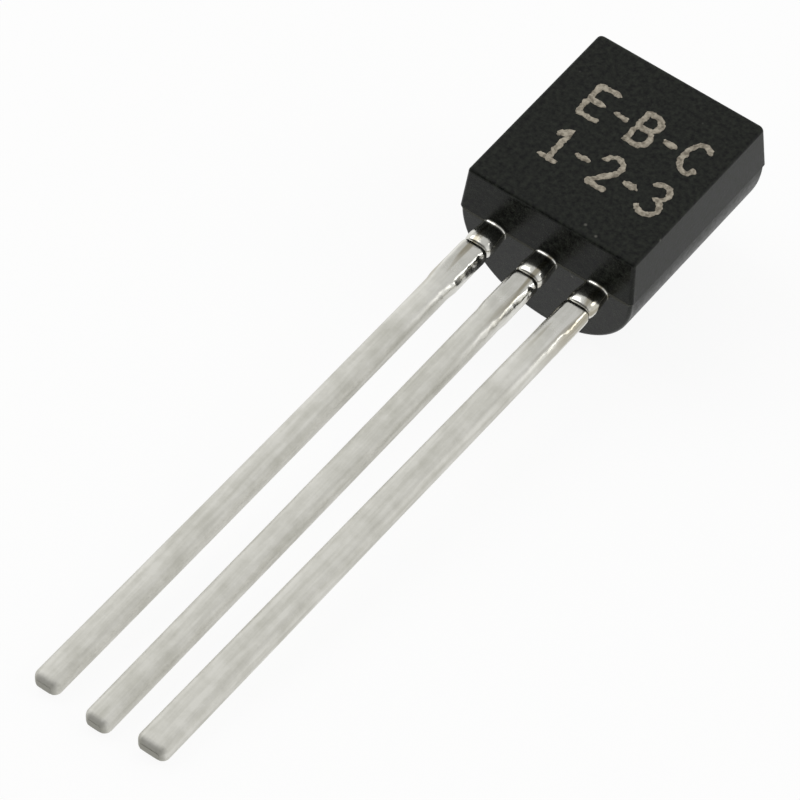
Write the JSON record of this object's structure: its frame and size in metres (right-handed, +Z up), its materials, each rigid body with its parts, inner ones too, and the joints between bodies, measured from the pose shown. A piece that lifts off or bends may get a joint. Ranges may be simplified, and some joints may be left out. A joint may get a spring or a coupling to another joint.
{
  "type": "transistor",
  "caption": "Small through-hole transistor: black moulded case with a flat marked front, sloped underside and round back, on straight tinned leads in a row.",
  "frame": {"origin": "middle of the footprint, on the surface the loose part lies on", "axes": "+X to the right across the marked flat face, with that face up and the leads toward the viewer; +Y from the lead tips to the top of the case; +Z up. The part lies tipped about 7 degrees on its round back and its lead tips."},
  "size_m": [0.0044, 0.0192, 0.0039],
  "materials": {
    "moulding_compound": "satin",
    "tinned_lead": "satin",
    "silicon": "polished",
    "die_solder": "matte",
    "bond_wire": "gloss"
  },
  "bodies": {
    "root": {"moulded_body": "moulding_compound", "emitter_lead": "tinned_lead", "base_lead": "tinned_lead", "collector_lead": "tinned_lead", "silicon_die": "silicon", "die_bond": "die_solder", "emitter_bond_wire": "bond_wire", "base_bond_wire": "bond_wire"}
  },
  "joints": []
}
